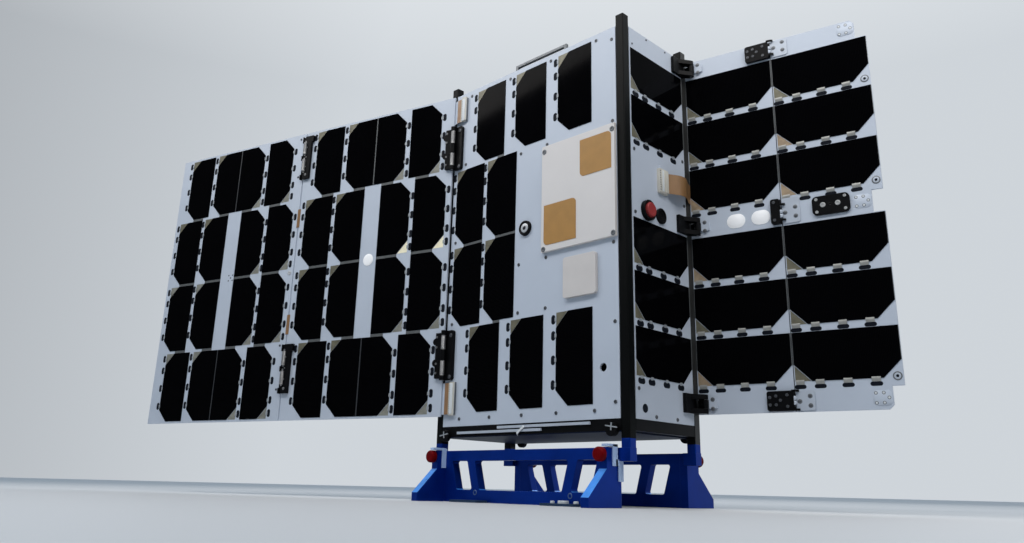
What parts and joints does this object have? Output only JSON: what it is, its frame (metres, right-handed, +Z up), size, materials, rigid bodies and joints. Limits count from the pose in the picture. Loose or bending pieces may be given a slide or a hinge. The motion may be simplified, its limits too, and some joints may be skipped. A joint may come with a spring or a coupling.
{
  "type": "small satellite with folding solar wings on its cradle",
  "caption": "Box-shaped small satellite with corner rails, solar cells, patch antennas and two folding solar wings, standing on a ribbed cradle.",
  "frame": {"origin": "on the floor, midway between the cradle's base holes, under the middle of the bus", "axes": "+Z up along the rails, +X along the bus's wide front to its narrow cell side, -Y out of the wide front"},
  "size_m": [0.7835, 0.2486, 0.4215],
  "materials": {
    "black_metal": "black anodised, satin",
    "grey_metal": "bare, matt",
    "light_metal": "bare, satin",
    "blue_metal": "blue anodised, satin",
    "panel": "pale coated circuit board",
    "cell": "cover glass over a dark cell",
    "core": "plain block",
    "white_ceramic": "white radome",
    "cream_ceramic": "cream, smooth",
    "patch": "tan metallised patch",
    "cream_plastic": "moulded",
    "red_plastic": "moulded",
    "spring_steel": "bright"
  },
  "bodies": {
    "bus": {"rails": "black_metal", "bottom_frame": "black_metal", "top_frame": "black_metal", "bottom_plate": "grey_metal", "top_plate": "grey_metal", "front_panel": "panel", "back_panel": "panel", "right_panel": "panel", "left_panel": "panel", "avionics_stack": "core", "front_cells": "cell", "right_cells": "cell", "antenna_plate": "white_ceramic", "antenna_patches": "patch", "antenna_tile": "cream_ceramic", "sun_sensor": "black_metal", "side_ports": "black_metal", "port_cap": "red_plastic", "flat_connectors": "cream_plastic", "left_root_leaves": "black_metal", "left_root_pins": "spring_steel", "right_root_brackets": "black_metal", "right_root_pins": "spring_steel", "cradle_front_frame": "blue_metal", "cradle_rear_frame": "blue_metal", "cradle_gussets": "blue_metal", "cradle_posts": "blue_metal", "cradle_knobs": "red_plastic", "cradle_flanges": "grey_metal", "antenna_strips": "light_metal", "corner_bosses": "black_metal", "top_bar": "grey_metal"},
    "left_inner_wing": {"left_inner_panel": "panel", "left_inner_cells": "cell", "left_inner_leaves": "black_metal", "left_inner_blocks": "black_metal", "left_outer_pins": "spring_steel"},
    "left_outer_wing": {"left_outer_panel": "panel", "left_outer_cells": "cell", "left_outer_blocks": "black_metal"},
    "right_inner_wing": {"right_inner_panel": "panel", "right_inner_cells": "cell", "right_inner_leaves": "light_metal", "right_inner_blocks": "black_metal", "right_outer_pins": "spring_steel"},
    "right_outer_wing": {"right_outer_panel": "panel", "right_outer_cells": "cell", "right_outer_blocks": "light_metal", "right_outer_plate": "black_metal"}
  },
  "joints": [
    {"name": "left_inner_fold", "type": "hinge", "parent": "bus", "child": "left_inner_wing", "pos_m": [-0.10265, -0.0559, 0.2431], "axis": [0, 0, 1], "range_deg": [0, 164.8]},
    {"name": "left_outer_fold", "type": "hinge", "parent": "left_inner_wing", "child": "left_outer_wing", "pos_m": [-0.30782, -0.10284, 0.2431], "axis": [0, 0, -1], "range_deg": [0, 180]},
    {"name": "right_inner_fold", "type": "hinge", "parent": "bus", "child": "right_inner_wing", "pos_m": [0.1215, 0.046, 0.2431], "axis": [0, 0, -1], "range_deg": [0, 101.1]},
    {"name": "right_outer_fold", "type": "hinge", "parent": "right_inner_wing", "child": "right_outer_wing", "pos_m": [0.19268, 0.06863, 0.2431], "axis": [0, 0, 1], "range_deg": [0, 180]}
  ],
  "couplings": [
    {"joint": "left_outer_fold", "follows": "left_inner_fold", "ratio": 1.0922},
    {"joint": "right_outer_fold", "follows": "right_inner_fold", "ratio": 1.7804}
  ]
}
